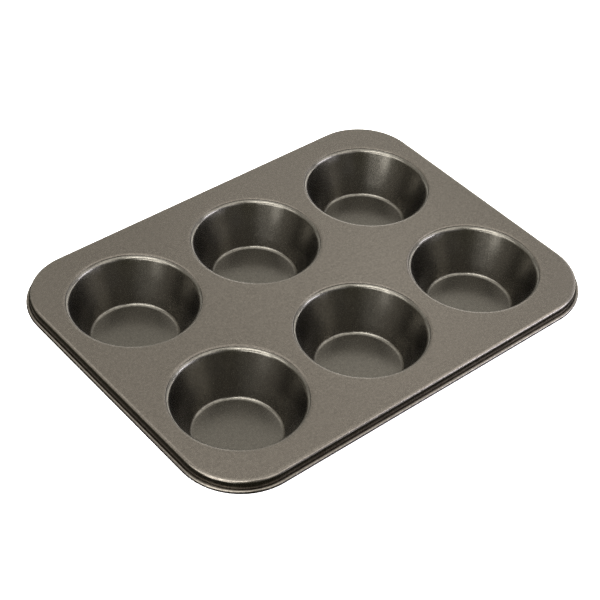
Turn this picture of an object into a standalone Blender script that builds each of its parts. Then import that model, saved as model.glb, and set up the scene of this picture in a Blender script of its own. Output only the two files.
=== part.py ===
"""Six-cup muffin pan: a pressed sheet deck, six drawn cups locked into it, a wire in its rolled edge.

Metres, +Z up. The cups stand on z = 0 and the origin is under the middle of the deck.
+X runs along a row of three cups, +Y from the front row to the back row.
"""
import math

import bmesh
import bpy
from mathutils import Vector

# Cup grid, with the flat width of deck between neighbouring mouths
COLUMN_NAMES = ("left", "middle", "right")
ROW_NAMES = ("front", "back")
WEB_X = 0.009
WEB_Y = 0.019

# Sheets, and the gap that pieces pressed against each other keep
DECK_SHEET = 0.0005
CUP_SHEET = 0.0005
CLEARANCE = 0.0003

# Cup, measured on its inside. The mouth is where the flat deck starts to bend down.
MOUTH_RADIUS = 0.0510
FLOOR_RADIUS = 0.0314
CUP_DEPTH = 0.0355
LIP_BEND_RADIUS = 0.0053
FLOOR_BEND_RADIUS = 0.0015

# Joint of cup and deck: how far round the bend the seam lies, the deck's collar, the cup's pleat
SEAM_TILT = math.radians(34)
COLLAR_LENGTH = 0.0018
PLEAT_OVERHANG = 0.0004

# Deck, from the mouths' edges to the edge bend, and from its top down to the wire
END_MARGIN = 0.0099
SIDE_MARGIN = 0.0169
CORNER_RADIUS = 0.0425
EDGE_BEND_RADIUS = 0.0026
WIRE_DROP = 0.0082
WIRE_RADIUS = 0.0007
WIRE_BUTT_GAP = 0.0010

# Facets
ROUND_STEPS = 32
CORNER_STEPS = 8
EDGE_BEND_STEPS = 3
CURL_STEPS = 9
LIP_STEPS = 3
SEAT_STEPS = 2
MOUTH_UNDER_STEPS = 1
FLOOR_BEND_STEPS = 3
WIRE_BEVEL_RESOLUTION = 2
WELD_DISTANCE = 1e-6
SHARP_ANGLE = math.radians(40)

# Finishes: colour, roughness, metallic
COATING = ((0.150, 0.140, 0.125, 1.0), 0.38, 0.60)
BRIGHT_WIRE = ((0.560, 0.545, 0.520, 1.0), 0.35, 1.00)

# Worked out from the sizes above
CUP_PITCH_X = 2 * MOUTH_RADIUS + WEB_X
CUP_PITCH_Y = 2 * MOUTH_RADIUS + WEB_Y
DECK_TOP = CUP_SHEET + CUP_DEPTH
DECK_TILT = SEAM_TILT - CLEARANCE / LIP_BEND_RADIUS / 2
LIP_TILT = SEAM_TILT + CLEARANCE / LIP_BEND_RADIUS / 2
SEAT_RADIUS = LIP_BEND_RADIUS - CUP_SHEET - CLEARANCE
STEP_UNDER_TILT = DECK_TILT - DECK_SHEET / SEAT_RADIUS
CURL_INNER_RADIUS = WIRE_RADIUS + CLEARANCE
CURL_OUTER_RADIUS = CURL_INNER_RADIUS + DECK_SHEET
CURL_TURN = math.pi + math.acos((CLEARANCE - CURL_INNER_RADIUS) / CURL_OUTER_RADIUS)
WIRE_OFFSET = EDGE_BEND_RADIUS + CURL_INNER_RADIUS
DECK_HALF_X = (len(COLUMN_NAMES) - 1) / 2 * CUP_PITCH_X + MOUTH_RADIUS + END_MARGIN
DECK_HALF_Y = (len(ROW_NAMES) - 1) / 2 * CUP_PITCH_Y + MOUTH_RADIUS + SIDE_MARGIN


def spaced(start, end, steps):
    """Evenly spaced values from start to end, both included."""
    return [start + (end - start) * step / steps for step in range(steps + 1)]


def wall_tilt():
    """Tilt of the cup's wall, which touches the lip's bend and the floor's bend."""
    across = MOUTH_RADIUS - FLOOR_RADIUS
    up = CUP_DEPTH - LIP_BEND_RADIUS - FLOOR_BEND_RADIUS
    radii = LIP_BEND_RADIUS + FLOOR_BEND_RADIUS
    return math.atan2(up, across) + math.asin(radii / math.hypot(across, up))


WALL_TILT = wall_tilt()
WALL_INWARD = Vector((-math.sin(WALL_TILT), math.cos(WALL_TILT)))
WALL_DOWN = Vector((-math.cos(WALL_TILT), -math.sin(WALL_TILT)))


def lip_point(bend_radius, tilt):
    """A point on the bend at a cup's mouth: distance from the cup's axis, height from the deck's top."""
    across = MOUTH_RADIUS - bend_radius * math.sin(tilt)
    return Vector((across, bend_radius * math.cos(tilt) - LIP_BEND_RADIUS))


def lip_arc(bend_radius, start_tilt, end_tilt, steps):
    return [lip_point(bend_radius, tilt) for tilt in spaced(start_tilt, end_tilt, steps)]


def wall_point(down, out):
    """A point beside the cup's wall: down from the lip's bend, and out from the wall's inner face."""
    return lip_point(LIP_BEND_RADIUS, WALL_TILT) + WALL_DOWN * down - WALL_INWARD * out


def floor_arc(bend_radius, start_tilt, end_tilt):
    """The bend round a cup's floor, with heights from the deck's top."""
    centre = Vector((FLOOR_RADIUS, FLOOR_BEND_RADIUS - CUP_DEPTH))
    tilts = spaced(start_tilt, end_tilt, FLOOR_BEND_STEPS)
    return [centre + bend_radius * Vector((math.sin(tilt), -math.cos(tilt))) for tilt in tilts]


def cup_section():
    """The cup's sheet from its axis up the inside, over the lip and back down the outside.

    The wall is pleated outward under the deck's collar, and the pleat is pressed flat. It stands out
    past the collar, so the collar is held between the pleat and the flared lip.
    """
    pleat_top = COLLAR_LENGTH + CLEARANCE
    pleat_bottom = pleat_top + 2 * CUP_SHEET
    pleat_out = CUP_SHEET + CLEARANCE + DECK_SHEET + PLEAT_OVERHANG
    points = [Vector((0.0, -CUP_DEPTH))]
    points += floor_arc(FLOOR_BEND_RADIUS, 0.0, WALL_TILT)
    points += lip_arc(LIP_BEND_RADIUS, WALL_TILT, LIP_TILT, LIP_STEPS)
    points += lip_arc(LIP_BEND_RADIUS - CUP_SHEET, LIP_TILT, WALL_TILT, SEAT_STEPS)
    points += [wall_point(pleat_top, CUP_SHEET), wall_point(pleat_top, pleat_out)]
    points += [wall_point(pleat_bottom, pleat_out), wall_point(pleat_bottom, CUP_SHEET)]
    points += floor_arc(FLOOR_BEND_RADIUS + CUP_SHEET, WALL_TILT, 0.0)
    points += [Vector((0.0, -DECK_TOP))]
    return points


def collar_section():
    """The deck's sheet round a cup: down the bend, a step for the lip, the collar, and back underneath."""
    seat_under = SEAT_RADIUS - DECK_SHEET
    collar_out = CUP_SHEET + CLEARANCE
    points = lip_arc(LIP_BEND_RADIUS, 0.0, DECK_TILT, SEAT_STEPS)
    points += lip_arc(SEAT_RADIUS, DECK_TILT, WALL_TILT, SEAT_STEPS)
    points += [wall_point(COLLAR_LENGTH, collar_out), wall_point(COLLAR_LENGTH, collar_out + DECK_SHEET)]
    points += lip_arc(seat_under, WALL_TILT, STEP_UNDER_TILT, SEAT_STEPS)
    points += lip_arc(LIP_BEND_RADIUS - DECK_SHEET, STEP_UNDER_TILT, 0.0, MOUTH_UNDER_STEPS)
    return points


def rim_face(depth):
    """One face of the deck's edge, depth inside the sheet: edge bend, skirt, and curl round the wire."""
    points = []
    bend_radius = EDGE_BEND_RADIUS - depth
    for turn in spaced(0.0, math.pi / 2, EDGE_BEND_STEPS):
        height = bend_radius * math.cos(turn) - EDGE_BEND_RADIUS
        points.append(Vector((bend_radius * math.sin(turn), height)))
    curl_radius = CURL_INNER_RADIUS + depth
    for turn in spaced(math.pi, math.pi + CURL_TURN, CURL_STEPS):
        height = curl_radius * math.sin(turn) - WIRE_DROP
        points.append(Vector((WIRE_OFFSET + curl_radius * math.cos(turn), height)))
    return points


def add_polyline(bm, points):
    """Vertices at the points, joined in order. Returns the vertices and edges."""
    verts = [bm.verts.new(point) for point in points]
    edges = [bm.edges.new(pair) for pair in zip(verts, verts[1:])]
    return verts + edges


def turn_section(bm, section, centre_x, centre_y):
    """Turn a section of (distance from axis, height) points a full circle about an upright axis."""
    geom = add_polyline(bm, [(centre_x + across, centre_y, height) for across, height in section])
    centre = (centre_x, centre_y, 0.0)
    axis = (0.0, 0.0, 1.0)
    bmesh.ops.spin(bm, geom=geom, cent=centre, axis=axis, angle=2 * math.pi, steps=ROUND_STEPS)


def sweep_edge(bm, section, half_x, half_y, corner_radius):
    """Carry a section of (outward, height) points round a rounded rectangle: side, corner, side."""
    inner_x = half_x - corner_radius
    inner_y = half_y - corner_radius
    corners = [(inner_x, inner_y), (-inner_x, inner_y), (-inner_x, -inner_y), (inner_x, -inner_y)]
    geom = add_polyline(bm, [(half_x + out, -inner_y, height) for out, height in section])
    previous = Vector(corners[-1])
    for corner in corners:
        edges = [item for item in geom if isinstance(item, bmesh.types.BMEdge)]
        side = bmesh.ops.extrude_edge_only(bm, edges=edges)["geom"]
        verts = [item for item in side if isinstance(item, bmesh.types.BMVert)]
        along = Vector(corner) - previous
        bmesh.ops.translate(bm, verts=verts, vec=along.to_3d())
        geom = [item for item in side if not isinstance(item, bmesh.types.BMFace)]
        centre = (corner[0], corner[1], 0.0)
        corner_turn = bmesh.ops.spin(
            bm, geom=geom, cent=centre, axis=(0.0, 0.0, 1.0), angle=math.pi / 2, steps=CORNER_STEPS
        )
        geom = corner_turn["geom_last"]
        previous = Vector(corner)


def fill_level(bm, height):
    """Fill the flat between the open loops that lie at one height."""
    edges = [edge for edge in bm.edges if edge.is_boundary]
    level = [edge for edge in edges if abs(edge.verts[0].co.z - height) < WELD_DISTANCE]
    bmesh.ops.triangle_fill(bm, edges=level, use_beauty=True, normal=(0.0, 0.0, 1.0))


def finish_mesh(bm, name):
    """Weld, turn the faces out and shade the round forms smooth."""
    bmesh.ops.remove_doubles(bm, verts=bm.verts, dist=WELD_DISTANCE)
    bmesh.ops.recalc_face_normals(bm, faces=bm.faces)
    mesh = bpy.data.meshes.new(name)
    bm.to_mesh(mesh)
    bm.free()
    mesh.shade_smooth()
    mesh.set_sharp_from_angle(angle=SHARP_ANGLE)
    return mesh


def make_material(name, finish):
    colour, roughness, metallic = finish
    material = bpy.data.materials.new(name)
    material.use_nodes = True
    shader = material.node_tree.nodes["Principled BSDF"]
    shader.inputs["Base Color"].default_value = colour
    shader.inputs["Roughness"].default_value = roughness
    shader.inputs["Metallic"].default_value = metallic
    material.diffuse_color = colour
    return material


def add_object(name, data, material, location, parent):
    if material.name not in data.materials:
        data.materials.append(material)
    part = bpy.data.objects.new(name, data)
    part.location = location
    part.parent = parent
    bpy.context.collection.objects.link(part)
    return part


def cup_centres():
    """Name and axis of each cup."""
    centres = []
    for row, row_name in enumerate(ROW_NAMES):
        for column, column_name in enumerate(COLUMN_NAMES):
            centre_x = (column - (len(COLUMN_NAMES) - 1) / 2) * CUP_PITCH_X
            centre_y = (row - (len(ROW_NAMES) - 1) / 2) * CUP_PITCH_Y
            centres.append((f"cup_{row_name}_{column_name}", centre_x, centre_y))
    return centres


def deck_mesh():
    """The deck in one sheet: a flat with a collar at each cup, and the edge rolled round the wire."""
    bm = bmesh.new()
    sweep_edge(bm, rim_face(0.0) + rim_face(DECK_SHEET)[::-1], DECK_HALF_X, DECK_HALF_Y, CORNER_RADIUS)
    for _, centre_x, centre_y in cup_centres():
        turn_section(bm, collar_section(), centre_x, centre_y)
    bmesh.ops.remove_doubles(bm, verts=bm.verts, dist=WELD_DISTANCE)
    fill_level(bm, 0.0)
    fill_level(bm, -DECK_SHEET)
    return finish_mesh(bm, "deck")


def cup_mesh():
    bm = bmesh.new()
    turn_section(bm, cup_section(), 0.0, 0.0)
    return finish_mesh(bm, "cup")


def wire_curve():
    """The wire's centre line round the deck, open at a butt joint in the middle of the back side."""
    reach = CORNER_RADIUS + WIRE_OFFSET
    inner_x = DECK_HALF_X - CORNER_RADIUS
    inner_y = DECK_HALF_Y - CORNER_RADIUS
    joint_y = DECK_HALF_Y + WIRE_OFFSET
    points = [(WIRE_BUTT_GAP / 2, joint_y)]
    signs = ((1, 1), (1, -1), (-1, -1), (-1, 1))
    for quarter, (sign_x, sign_y) in enumerate(signs):
        start = math.pi / 2 * (1 - quarter)
        for turn in spaced(start, start - math.pi / 2, CORNER_STEPS):
            x = sign_x * inner_x + reach * math.cos(turn)
            y = sign_y * inner_y + reach * math.sin(turn)
            points.append((x, y))
    points.append((-WIRE_BUTT_GAP / 2, joint_y))

    curve = bpy.data.curves.new("rim_wire", "CURVE")
    curve.dimensions = "3D"
    curve.bevel_depth = WIRE_RADIUS
    curve.bevel_resolution = WIRE_BEVEL_RESOLUTION
    curve.use_fill_caps = True
    spline = curve.splines.new("POLY")
    spline.points.add(len(points) - 1)
    for point, (x, y) in zip(spline.points, points):
        point.co = (x, y, 0.0, 1.0)
    return curve


def build():
    for old in list(bpy.data.objects):
        bpy.data.objects.remove(old)

    pan = bpy.data.objects.new("muffin_pan", None)
    bpy.context.collection.objects.link(pan)

    deck_level = (0.0, 0.0, DECK_TOP)
    add_object("deck", deck_mesh(), make_material("deck_coating", COATING), deck_level, pan)

    wire_level = (0.0, 0.0, DECK_TOP - WIRE_DROP)
    add_object("rim_wire", wire_curve(), make_material("wire_steel", BRIGHT_WIRE), wire_level, pan)

    cup = cup_mesh()
    coating = make_material("cup_coating", COATING)
    for name, centre_x, centre_y in cup_centres():
        add_object(name, cup, coating, (centre_x, centre_y, DECK_TOP), pan)


build()
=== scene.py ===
"""Looks of a six-cup muffin pan.

It makes the pan's pressed sheets as fine meshes, their grained coating, soft studio light and the camera.
Lengths are in metres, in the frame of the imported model: the cups stand on z = 0, and +X runs along a row.
"""
import math

import bmesh
import bpy
from mathutils import Matrix, Vector


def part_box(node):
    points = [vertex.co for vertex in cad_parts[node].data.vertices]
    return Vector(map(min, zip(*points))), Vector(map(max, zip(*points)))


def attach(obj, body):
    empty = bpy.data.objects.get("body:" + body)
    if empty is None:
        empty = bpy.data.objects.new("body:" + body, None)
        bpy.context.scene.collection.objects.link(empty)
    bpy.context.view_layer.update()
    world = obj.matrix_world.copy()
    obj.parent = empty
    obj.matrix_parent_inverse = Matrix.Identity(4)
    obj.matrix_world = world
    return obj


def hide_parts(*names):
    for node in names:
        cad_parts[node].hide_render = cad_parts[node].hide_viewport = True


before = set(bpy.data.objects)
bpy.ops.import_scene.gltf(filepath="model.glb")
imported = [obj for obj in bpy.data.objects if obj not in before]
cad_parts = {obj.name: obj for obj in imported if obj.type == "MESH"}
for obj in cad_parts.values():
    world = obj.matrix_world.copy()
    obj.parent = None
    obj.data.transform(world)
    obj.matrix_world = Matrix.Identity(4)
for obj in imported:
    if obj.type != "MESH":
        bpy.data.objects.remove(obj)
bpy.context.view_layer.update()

# Places that come from the frame
CUP_NODES = sorted(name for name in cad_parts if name.startswith("cup_"))
DECK_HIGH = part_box("deck")[1]
DECK_TOP = DECK_HIGH.z
PLACE_DIGITS = 5

# Sheets, and the gaps between pieces pressed together
DECK_SHEET = 0.0005
CUP_SHEET = 0.0005
CLEARANCE = 0.0003
SEAM_GAP = 0.0003
SHEET_EDGE_ROUND = 0.0002

# Cup, measured on its inside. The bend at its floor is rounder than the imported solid's
MOUTH_RADIUS = 0.0510
FLOOR_RADIUS = 0.0306
LIP_BEND_RADIUS = 0.0053
FLOOR_BEND_RADIUS = 0.0029
CUP_DEPTH = DECK_TOP - CUP_SHEET

# Joint of cup and deck. Its seam lies higher on the lip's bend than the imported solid's
SEAM_TILT = math.radians(26)
COLLAR_LENGTH = 0.0018
PLEAT_OVERHANG = 0.0004
PLEAT_CORNER_CUT = 0.7 * SHEET_EDGE_ROUND

# Edge of the deck
CORNER_RADIUS = 0.0425
EDGE_BEND_RADIUS = 0.0026
WIRE_DROP = 0.0082
WIRE_RADIUS = 0.0007

# Fineness of the meshes
CUP_STEPS = 144
CORNER_STEPS = 24
OUTLINE_STEP_ANGLE = math.radians(2.6)
LIP_STEPS = 14
SEAT_STEPS = 8
EDGE_ROUND_STEPS = 3
FLOOR_BEND_STEPS = 14
WALL_ROWS = 10
FLOOR_RINGS = 6
EDGE_BEND_STEPS = 10
SKIRT_ROWS = 2
CURL_STEPS = 36
FLAT_ROWS = 5
SUPPORT_DISTANCE = 0.0004
WELD_DISTANCE = 2e-6
SHARP_ANGLE = math.radians(38)

# Worked out from the sizes above. The curl turns until its end is a clearance away from the skirt
SEAT_RADIUS = LIP_BEND_RADIUS - CUP_SHEET - CLEARANCE
SEAM_HALF_TILT = SEAM_GAP / LIP_BEND_RADIUS / 2
CURL_INNER_RADIUS = WIRE_RADIUS + CLEARANCE
CURL_OUTER_RADIUS = CURL_INNER_RADIUS + DECK_SHEET
CURL_TURN = math.pi + math.acos((CLEARANCE - CURL_INNER_RADIUS) / CURL_OUTER_RADIUS)
WIRE_OFFSET = EDGE_BEND_RADIUS + CURL_INNER_RADIUS
EDGE_REACH = WIRE_OFFSET + CURL_OUTER_RADIUS
DECK_HALF_X = DECK_HIGH.x - EDGE_REACH
DECK_HALF_Y = DECK_HIGH.y - EDGE_REACH


def spaced(start, end, steps):
    """Evenly spaced values from start to end, both included."""
    return [start + (end - start) * step / steps for step in range(steps + 1)]


def wall_tilt():
    """Tilt of the cup's wall, which touches the lip's bend and the floor's bend."""
    across = MOUTH_RADIUS - FLOOR_RADIUS
    up = CUP_DEPTH - LIP_BEND_RADIUS - FLOOR_BEND_RADIUS
    radii = LIP_BEND_RADIUS + FLOOR_BEND_RADIUS
    return math.atan2(up, across) + math.asin(radii / math.hypot(across, up))


WALL_TILT = wall_tilt()
WALL_INWARD = Vector((-math.sin(WALL_TILT), math.cos(WALL_TILT)))
WALL_DOWN = Vector((-math.cos(WALL_TILT), -math.sin(WALL_TILT)))


# Sections, as points of distance from the cup's axis and height from the deck's top
def lip_point(bend_radius, tilt):
    """A point of the mouth's bend, or of a face beside it, at a tilt that is 0 on the deck's flat."""
    across = MOUTH_RADIUS - bend_radius * math.sin(tilt)
    return Vector((across, bend_radius * math.cos(tilt) - LIP_BEND_RADIUS))


def lip_arc(bend_radius, start_tilt, end_tilt, steps):
    return [lip_point(bend_radius, tilt) for tilt in spaced(start_tilt, end_tilt, steps)]


def rounded_edge(bend_radius, tilt, towards_cup):
    """The rounded corner that a sheet's face, bent to bend_radius, turns into where it ends at a tilt."""
    inner_radius = bend_radius - SHEET_EDGE_ROUND
    points = []
    for turn in spaced(0.0, math.pi / 2, EDGE_ROUND_STEPS):
        along = SHEET_EDGE_ROUND * (math.sin(turn) - 1)
        radius = inner_radius + SHEET_EDGE_ROUND * math.cos(turn)
        points.append(lip_point(radius, tilt + towards_cup * along / inner_radius))
    return points


def wall_point(down, out):
    """A point beside the cup's wall: down from the lip's bend, and out from the wall's inner face."""
    return lip_point(LIP_BEND_RADIUS, WALL_TILT) + WALL_DOWN * down - WALL_INWARD * out


def rows_between(start, end, rows):
    """Points between two points, without the two."""
    return [start.lerp(end, row / (rows + 1)) for row in range(1, rows + 1)]


def floor_arc(bend_radius, start_tilt, end_tilt):
    """The bend between floor and wall, or the sheet's other face there. The tilt is 0 on the floor."""
    centre = Vector((FLOOR_RADIUS, FLOOR_BEND_RADIUS - CUP_DEPTH))
    tilts = spaced(start_tilt, end_tilt, FLOOR_BEND_STEPS)
    return [centre + bend_radius * Vector((math.sin(tilt), -math.cos(tilt))) for tilt in tilts]


def pleat_points():
    """The pleat's outside: out under the collar, down over its edge and back in to the wall."""
    top = COLLAR_LENGTH + CLEARANCE
    bottom = top + 2 * CUP_SHEET
    out = CUP_SHEET + CLEARANCE + DECK_SHEET + PLEAT_OVERHANG
    return [
        wall_point(top, CUP_SHEET),
        wall_point(top, out - PLEAT_CORNER_CUT),
        wall_point(top + PLEAT_CORNER_CUT, out),
        wall_point(bottom - PLEAT_CORNER_CUT, out),
        wall_point(bottom, out - PLEAT_CORNER_CUT),
        wall_point(bottom, CUP_SHEET),
    ]


def cup_section():
    """The cup's sheet: from its axis up the inside, over the flared lip, and down the pleated outside."""
    lip_tilt = SEAM_TILT + SEAM_HALF_TILT
    lip_round_tilt = lip_tilt + SHEET_EDGE_ROUND / LIP_BEND_RADIUS
    axis = Vector((0.0, -CUP_DEPTH))
    floor_edge = Vector((FLOOR_RADIUS, -CUP_DEPTH))
    under_axis = Vector((0.0, -DECK_TOP))
    under_floor_edge = Vector((FLOOR_RADIUS, -DECK_TOP))

    points = [axis]
    points += rows_between(axis, floor_edge, FLOOR_RINGS)
    points += [Vector((FLOOR_RADIUS - SUPPORT_DISTANCE, -CUP_DEPTH))]
    points += floor_arc(FLOOR_BEND_RADIUS, 0.0, WALL_TILT)
    points += rows_between(points[-1], lip_point(LIP_BEND_RADIUS, WALL_TILT), WALL_ROWS)
    points += lip_arc(LIP_BEND_RADIUS, WALL_TILT, lip_round_tilt, LIP_STEPS)
    points += rounded_edge(LIP_BEND_RADIUS, lip_tilt, -1)[1:]
    points += lip_arc(LIP_BEND_RADIUS - CUP_SHEET, lip_tilt, WALL_TILT, SEAT_STEPS)
    points += pleat_points()
    outer_bend = floor_arc(FLOOR_BEND_RADIUS + CUP_SHEET, WALL_TILT, 0.0)
    points += rows_between(points[-1], outer_bend[0], WALL_ROWS)
    points += outer_bend
    points += [Vector((FLOOR_RADIUS - SUPPORT_DISTANCE, -DECK_TOP))]
    points += rows_between(under_floor_edge, under_axis, FLOOR_RINGS)
    points += [under_axis]
    return points


def collar_section():
    """The deck's sheet at a cup: down the bend from the flat, a step for the lip, the collar, and back."""
    deck_tilt = SEAM_TILT - SEAM_HALF_TILT
    step_under_tilt = deck_tilt - DECK_SHEET / SEAT_RADIUS
    collar_out = CUP_SHEET + CLEARANCE
    points = lip_arc(LIP_BEND_RADIUS, 0.0, deck_tilt - SHEET_EDGE_ROUND / LIP_BEND_RADIUS, SEAT_STEPS)
    points += rounded_edge(LIP_BEND_RADIUS, deck_tilt, 1)[1:]
    points += lip_arc(SEAT_RADIUS, deck_tilt, WALL_TILT, SEAT_STEPS)
    points += [wall_point(COLLAR_LENGTH, collar_out), wall_point(COLLAR_LENGTH, collar_out + DECK_SHEET)]
    points += lip_arc(SEAT_RADIUS - DECK_SHEET, WALL_TILT, step_under_tilt, SEAT_STEPS)
    points += lip_arc(LIP_BEND_RADIUS - DECK_SHEET, step_under_tilt, 0.0, SEAT_STEPS)[1:]
    return points


def rim_face(depth):
    """One face of the deck's edge, as outward and height: edge bend, skirt, and curl round the wire."""
    bend_radius = EDGE_BEND_RADIUS - depth
    points = []
    for turn in spaced(0.0, math.pi / 2, EDGE_BEND_STEPS):
        height = bend_radius * math.cos(turn) - EDGE_BEND_RADIUS
        points.append(Vector((bend_radius * math.sin(turn), height)))
    skirt_top = points[-1]
    skirt_foot = Vector((skirt_top.x, -WIRE_DROP))
    points += rows_between(skirt_top, skirt_foot, SKIRT_ROWS)
    curl_radius = CURL_INNER_RADIUS + depth
    for turn in spaced(math.pi, math.pi + CURL_TURN, CURL_STEPS):
        height = curl_radius * math.sin(turn) - WIRE_DROP
        points.append(Vector((WIRE_OFFSET + curl_radius * math.cos(turn), height)))
    return points


# Meshes
def finish_mesh(bm, name):
    """Weld, turn the faces out and shade the round forms smooth."""
    bmesh.ops.remove_doubles(bm, verts=bm.verts, dist=WELD_DISTANCE)
    bmesh.ops.recalc_face_normals(bm, faces=bm.faces)
    mesh = bpy.data.meshes.new(name)
    bm.to_mesh(mesh)
    bm.free()
    mesh.shade_smooth()
    mesh.set_sharp_from_angle(angle=SHARP_ANGLE)
    return mesh


def cup_mesh():
    """The cup's section turned about its axis. All six cups share this mesh."""
    bm = bmesh.new()
    verts = [bm.verts.new((across, 0.0, height)) for across, height in cup_section()]
    edges = [bm.edges.new(pair) for pair in zip(verts, verts[1:])]
    geometry = verts + edges
    bmesh.ops.spin(bm, geom=geometry, cent=(0, 0, 0), axis=(0, 0, 1), angle=math.tau, steps=CUP_STEPS)
    return finish_mesh(bm, "cup_shell")


def cell_span(place, places, half):
    """A cup's share of the deck along one axis: its two bounds, and whether each is the deck's own edge."""
    ordered = sorted(set(places))
    index = ordered.index(place)
    at_start = index == 0
    at_end = index == len(ordered) - 1
    low = -half if at_start else (ordered[index - 1] + place) / 2
    high = half if at_end else (ordered[index + 1] + place) / 2
    return low, high, at_start, at_end


def straight_stretch(centre, start, end, normal, is_edge):
    """A straight stretch of a cell's outline, with points at even angles as seen from the cup's axis."""
    reach = (start - centre).dot(normal)
    along = (end - start).normalized()
    start_angle = math.atan2((start - centre).dot(along), reach)
    end_angle = math.atan2((end - centre).dot(along), reach)
    steps = max(1, round((end_angle - start_angle) / OUTLINE_STEP_ANGLE))
    foot = centre + normal * reach
    points = [foot + along * (math.tan(angle) * reach) for angle in spaced(start_angle, end_angle, steps)]
    return [(point, normal if is_edge else None) for point in points]


def corner_stretch(corner, sign_x, sign_y):
    """The deck's rounded corner as a stretch, anticlockwise."""
    arc_centre = corner - Vector((sign_x, sign_y)) * CORNER_RADIUS
    middle = math.atan2(sign_y, sign_x)
    turns = spaced(middle - math.pi / 4, middle + math.pi / 4, CORNER_STEPS)
    outs = [Vector((math.cos(turn), math.sin(turn))) for turn in turns]
    return [(arc_centre + out * CORNER_RADIUS, out) for out in outs]


def cell_stretches(centre, span_x, span_y):
    """The stretches round one cup's share of the deck, anticlockwise from its low right corner."""
    low_x, high_x, edge_left, edge_right = span_x
    low_y, high_y, edge_front, edge_back = span_y
    sides = [((1, 0), edge_right), ((0, 1), edge_back), ((-1, 0), edge_left), ((0, -1), edge_front)]
    corners = [
        (Vector((high_x, low_y)), (1, -1), edge_right and edge_front),
        (Vector((high_x, high_y)), (1, 1), edge_right and edge_back),
        (Vector((low_x, high_y)), (-1, 1), edge_left and edge_back),
        (Vector((low_x, low_y)), (-1, -1), edge_left and edge_front),
    ]
    stretches = []
    for index, (side, is_edge) in enumerate(sides):
        start, _, start_rounded = corners[index]
        end, signs, end_rounded = corners[(index + 1) % len(corners)]
        along = (end - start).normalized()
        side_start = start + along * CORNER_RADIUS * start_rounded
        side_end = end - along * CORNER_RADIUS * end_rounded
        stretches.append(straight_stretch(centre, side_start, side_end, Vector(side), is_edge))
        if end_rounded:
            stretches.append(corner_stretch(end, *signs))
    return stretches


def deck_column(centre, point, outward):
    """One line of the deck's sheet: in to the cup underneath, back out on top, and over the pan's edge."""
    way = (point - centre).normalized()
    reach = (point - centre).length
    turned = [(centre + way * across, height) for across, height in collar_section()]
    stations = spaced(MOUTH_RADIUS + SUPPORT_DISTANCE, reach - SUPPORT_DISTANCE, FLAT_ROWS)
    flat = [(centre + way * across, 0.0) for across in stations] + [(point, 0.0)]
    under = [(place, -DECK_SHEET) for place, _ in reversed(flat)]
    line = under + turned[::-1] + flat
    if outward is not None:
        line += [(point + outward * out, height) for out, height in rim_face(0.0)[1:]]
        line += [(point + outward * out, height) for out, height in rim_face(DECK_SHEET)[::-1]]
    return [(place.x, place.y, DECK_TOP + height) for place, height in line]


def add_strip(bm, columns):
    """Faces between neighbouring columns of points."""
    rows = [[bm.verts.new(point) for point in column] for column in columns]
    for left, right in zip(rows, rows[1:]):
        for index in range(len(left) - 1):
            bm.faces.new((left[index], right[index], right[index + 1], left[index + 1]))


def deck_mesh(cups):
    """The deck's one sheet, made cup by cup and welded where the cups' shares meet."""
    bm = bmesh.new()
    places_x = [centre.x for centre in cups.values()]
    places_y = [centre.y for centre in cups.values()]
    for centre in cups.values():
        span_x = cell_span(centre.x, places_x, DECK_HALF_X)
        span_y = cell_span(centre.y, places_y, DECK_HALF_Y)
        for stretch in cell_stretches(centre, span_x, span_y):
            add_strip(bm, [deck_column(centre, point, outward) for point, outward in stretch])
    return finish_mesh(bm, "deck_shell")


def add_piece(name, mesh, material, location, node):
    """A piece that stands for a node of the frame and moves with its body."""
    piece = bpy.data.objects.new(name, mesh)
    piece.location = location
    bpy.context.scene.collection.objects.link(piece)
    if material.name not in mesh.materials:
        mesh.materials.append(material)
    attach(piece, "root")
    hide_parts(node)
    return piece


def cup_places():
    """The axis of each cup, rounded to a hundredth of a millimetre so that neighbours agree."""
    places = {}
    for node in CUP_NODES:
        low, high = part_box(node)
        middle = (low + high) / 2
        places[node] = Vector((round(middle.x, PLACE_DIGITS), round(middle.y, PLACE_DIGITS)))
    return places


# Materials. A noise texture's values lie mostly within the span given here
NOISE_SPAN = (0.3, 0.7)
FULL_SPAN = (0.0, 1.0)


def new_material(name):
    material = bpy.data.materials.new(name)
    material.use_nodes = True
    return material, material.node_tree.nodes, material.node_tree.links


def noise(nodes, links, coordinates, scale, detail):
    """A noise texture fixed to the object, with its scale per metre."""
    texture = nodes.new("ShaderNodeTexNoise")
    texture.inputs["Scale"].default_value = scale
    texture.inputs["Detail"].default_value = detail
    links.new(coordinates.outputs["Object"], texture.inputs["Vector"])
    return texture.outputs["Fac"]


def mapped(nodes, links, value, to_span, from_span=NOISE_SPAN):
    """A value carried from one span to another."""
    remap = nodes.new("ShaderNodeMapRange")
    remap.inputs["From Min"].default_value = from_span[0]
    remap.inputs["From Max"].default_value = from_span[1]
    remap.inputs["To Min"].default_value = to_span[0]
    remap.inputs["To Max"].default_value = to_span[1]
    links.new(value, remap.inputs["Value"])
    return remap.outputs["Result"]


def blended(nodes, links, value, dark, light):
    """A colour between dark and light, as a noise texture's value has it."""
    colour = nodes.new("ShaderNodeMix")
    colour.data_type = "RGBA"
    colour.inputs["A"].default_value = (*dark, 1.0)
    colour.inputs["B"].default_value = (*light, 1.0)
    links.new(mapped(nodes, links, value, FULL_SPAN), colour.inputs["Factor"])
    return colour.outputs["Result"]


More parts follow.
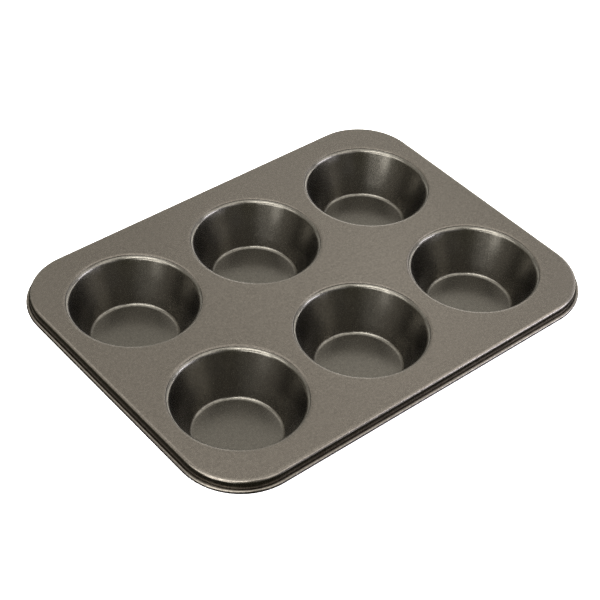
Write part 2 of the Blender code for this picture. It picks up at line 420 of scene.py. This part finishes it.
# Coating: the two colours of its mottle, their tone on the deck and on the cups, its gloss and its grain.
# The cups' darker tone is painted shade inside the cups
COATING_DARK = (0.122, 0.1105, 0.097)
COATING_LIGHT = (0.178, 0.162, 0.142)
DECK_TONE = (1.0, 1.0, 1.0)
# The cups' coating is darker than the deck's: this is painted shade inside the hollow cups
CUP_PAINTED_SHADE_TONE = (0.79, 0.82, 0.82)
COATING_METALLIC = 1.0
COATING_ROUGHNESS = (0.21, 0.29)
MOTTLE_SCALE = 560.0
MOTTLE_DETAIL = 3.0
GRAIN_SCALE = 2600.0
GRAIN_DETAIL = 2.0
GRAIN_HEIGHT = 0.00001


def toned(colour, tone):
    return tuple(channel * share for channel, share in zip(colour, tone))


def coating_material(name, tone):
    """Grey non-stick coating on steel: a fine mottle, and a grain that makes its highlights sparkle."""
    material, nodes, links = new_material(name)
    shader = nodes["Principled BSDF"]
    coordinates = nodes.new("ShaderNodeTexCoord")
    mottle = noise(nodes, links, coordinates, MOTTLE_SCALE, MOTTLE_DETAIL)
    grain = noise(nodes, links, coordinates, GRAIN_SCALE, GRAIN_DETAIL)
    colour = blended(nodes, links, mottle, toned(COATING_DARK, tone), toned(COATING_LIGHT, tone))
    links.new(colour, shader.inputs["Base Color"])
    links.new(mapped(nodes, links, grain, COATING_ROUGHNESS), shader.inputs["Roughness"])
    shader.inputs["Metallic"].default_value = COATING_METALLIC

    bump = nodes.new("ShaderNodeBump")
    bump.inputs["Strength"].default_value = 1.0
    bump.inputs["Distance"].default_value = GRAIN_HEIGHT
    links.new(grain, bump.inputs["Height"])
    links.new(bump.outputs["Normal"], shader.inputs["Normal"])
    return material


# Wire: the two colours of its steel, its gloss and its grain
WIRE_DARK = (0.48, 0.465, 0.44)
WIRE_LIGHT = (0.62, 0.61, 0.59)
WIRE_ROUGHNESS = (0.28, 0.42)
WIRE_GRAIN_SCALE = 1800.0
WIRE_GRAIN_DETAIL = 2.0


def wire_material():
    """Bright drawn steel wire."""
    material, nodes, links = new_material("drawn_wire")
    shader = nodes["Principled BSDF"]
    coordinates = nodes.new("ShaderNodeTexCoord")
    grain = noise(nodes, links, coordinates, WIRE_GRAIN_SCALE, WIRE_GRAIN_DETAIL)
    links.new(blended(nodes, links, grain, WIRE_DARK, WIRE_LIGHT), shader.inputs["Base Color"])
    links.new(mapped(nodes, links, grain, WIRE_ROUGHNESS), shader.inputs["Roughness"])
    shader.inputs["Metallic"].default_value = 1.0
    return material


# Studio floor: its size, and the pale colours and glow that make it read as white
STUDIO_RADIUS = 6.0
STUDIO_STEPS = 96
STUDIO_DARK = (0.93, 0.93, 0.93)
STUDIO_LIGHT = (0.96, 0.96, 0.96)
STUDIO_ROUGHNESS = 0.9
STUDIO_GRAIN_SCALE = 40.0
STUDIO_GRAIN_DETAIL = 4.0
STUDIO_GLOW = 1.0
PURE_WHITE = (1.0, 1.0, 1.0, 1.0)


def floor_material():
    """Pale sweep, bright enough to read as white."""
    material, nodes, links = new_material("pale_floor")
    shader = nodes["Principled BSDF"]
    coordinates = nodes.new("ShaderNodeTexCoord")
    grain = noise(nodes, links, coordinates, STUDIO_GRAIN_SCALE, STUDIO_GRAIN_DETAIL)
    links.new(blended(nodes, links, grain, STUDIO_DARK, STUDIO_LIGHT), shader.inputs["Base Color"])
    shader.inputs["Roughness"].default_value = STUDIO_ROUGHNESS
    shader.inputs["Emission Color"].default_value = PURE_WHITE
    shader.inputs["Emission Strength"].default_value = STUDIO_GLOW
    return material


def add_floor():
    """A round pale floor that the pan doesn't mirror."""
    bm = bmesh.new()
    bmesh.ops.create_circle(bm, cap_ends=True, radius=STUDIO_RADIUS, segments=STUDIO_STEPS)
    mesh = bpy.data.meshes.new("floor")
    bm.to_mesh(mesh)
    bm.free()
    mesh.materials.append(floor_material())
    floor = bpy.data.objects.new("floor", mesh)
    floor.visible_glossy = False
    bpy.context.scene.collection.objects.link(floor)


# Camera: where it stands from the middle of the deck's top, how it is turned, and its lens in millimetres
CAMERA_PLACE = Vector((-0.58495, -0.63934, 0.76779))
CAMERA_AZIMUTH = math.radians(-42.1585)
CAMERA_ELEVATION = math.radians(42.1781)
CAMERA_ROLL = math.radians(3.7575)
CAMERA_LENS = 95.375
CAMERA_SENSOR = 36.0
CAMERA_REACH = 50.0


def add_camera():
    flat = math.cos(CAMERA_ELEVATION)
    back = Vector((
        math.sin(CAMERA_AZIMUTH) * flat, -math.cos(CAMERA_AZIMUTH) * flat, math.sin(CAMERA_ELEVATION)
    ))
    level_right = Vector((0, 0, 1)).cross(back).normalized()
    level_up = back.cross(level_right)
    right = math.cos(CAMERA_ROLL) * level_right + math.sin(CAMERA_ROLL) * level_up
    up = math.cos(CAMERA_ROLL) * level_up - math.sin(CAMERA_ROLL) * level_right
    data = bpy.data.cameras.new("camera")
    data.sensor_fit = "HORIZONTAL"
    data.sensor_width = CAMERA_SENSOR
    data.lens = CAMERA_LENS
    data.clip_end = CAMERA_REACH
    camera = bpy.data.objects.new("camera", data)
    turn = Matrix((right, up, back)).transposed().to_4x4()
    camera.matrix_world = Matrix.Translation(CAMERA_PLACE + Vector((0, 0, DECK_TOP))) @ turn
    bpy.context.scene.collection.objects.link(camera)
    bpy.context.scene.camera = camera


# Light: softboxes round the pan, in degrees, with bearings anticlockwise from the camera's side
LIGHT_DISTANCE = 2.0
WHITE = (1.0, 0.985, 0.96)
WARM = (1.0, 0.97, 0.94)
COOL = (0.86, 0.86, 1.0)
SOFTBOXES = {
    "key_left": dict(bearing=-52, elevation=33, wide=32, high=14, radiance=4.95, colour=WHITE),
    "key_top": dict(bearing=-14, elevation=50, wide=40, high=13, radiance=11.2, colour=WHITE),
    "key_low": dict(bearing=-22, elevation=22, wide=36, high=9, radiance=10.0, colour=WHITE),
    "key_foot": dict(bearing=-35, elevation=13, wide=14, high=14, radiance=3.8, colour=WHITE),
    "right_floor": dict(bearing=90, elevation=2, wide=60, high=8, radiance=3.0, colour=COOL),
    "right_strip": dict(bearing=90, elevation=21, wide=27, high=9, radiance=13.4, colour=COOL),
    "right_wall": dict(bearing=80, elevation=28, wide=95, high=30, radiance=0.53, colour=COOL),
    "right_high": dict(bearing=75, elevation=42, wide=60, high=18, radiance=2.9, colour=WARM),
    "side_high": dict(bearing=120, elevation=48, wide=22, high=16, radiance=1.03, colour=WHITE),
    "side_low": dict(bearing=145, elevation=30, wide=22, high=16, radiance=1.15, colour=COOL),
    "back_strip": dict(bearing=146, elevation=6, wide=76, high=8, radiance=4.2, colour=WARM),
    "back_low": dict(bearing=180, elevation=18, wide=125, high=18, radiance=1.5, colour=WHITE),
    "back_mid": dict(bearing=180, elevation=34, wide=110, high=16, radiance=0.58, colour=WHITE),
    "back_centre": dict(bearing=180, elevation=39, wide=14, high=7, radiance=0.58, colour=WARM),
    "back_spot": dict(bearing=170, elevation=42, wide=10, high=12, radiance=0.48, colour=WARM),
    "back_high": dict(bearing=180, elevation=49, wide=100, high=16, radiance=0.82, colour=WARM),
    "back_top": dict(bearing=180, elevation=68, wide=80, high=22, radiance=1.85, colour=WARM),
    "left_wall": dict(bearing=-85, elevation=36, wide=60, high=40, radiance=0.9, colour=WARM),
    "ceiling": dict(bearing=0, elevation=75, wide=70, high=35, radiance=2.5, colour=WHITE),
}


def add_softbox(name, bearing, elevation, wide, high, radiance, colour):
    """A rectangular light that faces the pan, and spans wide by high degrees as seen from there."""
    width = 2 * LIGHT_DISTANCE * math.tan(math.radians(wide) / 2)
    height = 2 * LIGHT_DISTANCE * math.tan(math.radians(high) / 2)
    data = bpy.data.lights.new(name, "AREA")
    data.shape = "RECTANGLE"
    data.size = width
    data.size_y = height
    data.energy = radiance * width * height * math.pi
    data.color = colour
    light = bpy.data.objects.new(name, data)
    azimuth = CAMERA_AZIMUTH - math.pi / 2 + math.radians(bearing)
    up = math.radians(elevation)
    way = Vector((math.cos(azimuth) * math.cos(up), math.sin(azimuth) * math.cos(up), math.sin(up)))
    light.location = way * LIGHT_DISTANCE + Vector((0, 0, DECK_TOP))
    light.rotation_euler = way.to_track_quat("Z", "Y").to_euler()
    bpy.context.scene.collection.objects.link(light)


# Room: its colour, its strengths below and above the table's level, and the rise over which they change
ROOM_COLOUR = (1.0, 0.95, 0.64, 1.0)
ROOM_STRENGTHS = (0.05, 0.19)
ROOM_FADE = (-0.02, 0.12)


def add_world():
    """A soft dim room, darker below the table's level and white to the camera. Rise is a direction's z."""
    world = bpy.data.worlds.new("studio")
    world.use_nodes = True
    bpy.context.scene.world = world
    nodes = world.node_tree.nodes
    links = world.node_tree.links
    room = nodes["Background"]
    room.inputs["Color"].default_value = ROOM_COLOUR
    coordinates = nodes.new("ShaderNodeTexCoord")
    parts = nodes.new("ShaderNodeSeparateXYZ")
    links.new(coordinates.outputs["Generated"], parts.inputs["Vector"])
    strength = mapped(nodes, links, parts.outputs["Z"], ROOM_STRENGTHS, ROOM_FADE)
    links.new(strength, room.inputs["Strength"])
    white = nodes.new("ShaderNodeBackground")
    white.inputs["Color"].default_value = PURE_WHITE
    path = nodes.new("ShaderNodeLightPath")
    mix = nodes.new("ShaderNodeMixShader")
    links.new(path.outputs["Is Camera Ray"], mix.inputs["Fac"])
    links.new(room.outputs["Background"], mix.inputs[1])
    links.new(white.outputs["Background"], mix.inputs[2])
    links.new(mix.outputs["Shader"], nodes["World Output"].inputs["Surface"])


def set_view():
    """Plain colours, as a product photograph has them."""
    view = bpy.context.scene.view_settings
    view.view_transform = "Standard"
    view.look = "None"


def build():
    set_view()
    add_camera()
    add_world()
    add_floor()
    for name, values in SOFTBOXES.items():
        add_softbox(name, **values)

    cups = cup_places()
    deck_coating = coating_material("deck_coating", DECK_TONE)
    add_piece("deck_shell", deck_mesh(cups), deck_coating, (0, 0, 0), "deck")
    shell = cup_mesh()
    # The cups' coating is made darker than the deck's, as painted shade inside the cups
    cup_coating = coating_material("cup_coating", CUP_PAINTED_SHADE_TONE)
    for node, centre in cups.items():
        name = node.replace("cup_", "cup_shell_")
        add_piece(name, shell, cup_coating, (centre.x, centre.y, DECK_TOP), node)
    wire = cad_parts["rim_wire"]
    wire.data.materials.clear()
    wire.data.materials.append(wire_material())


build()
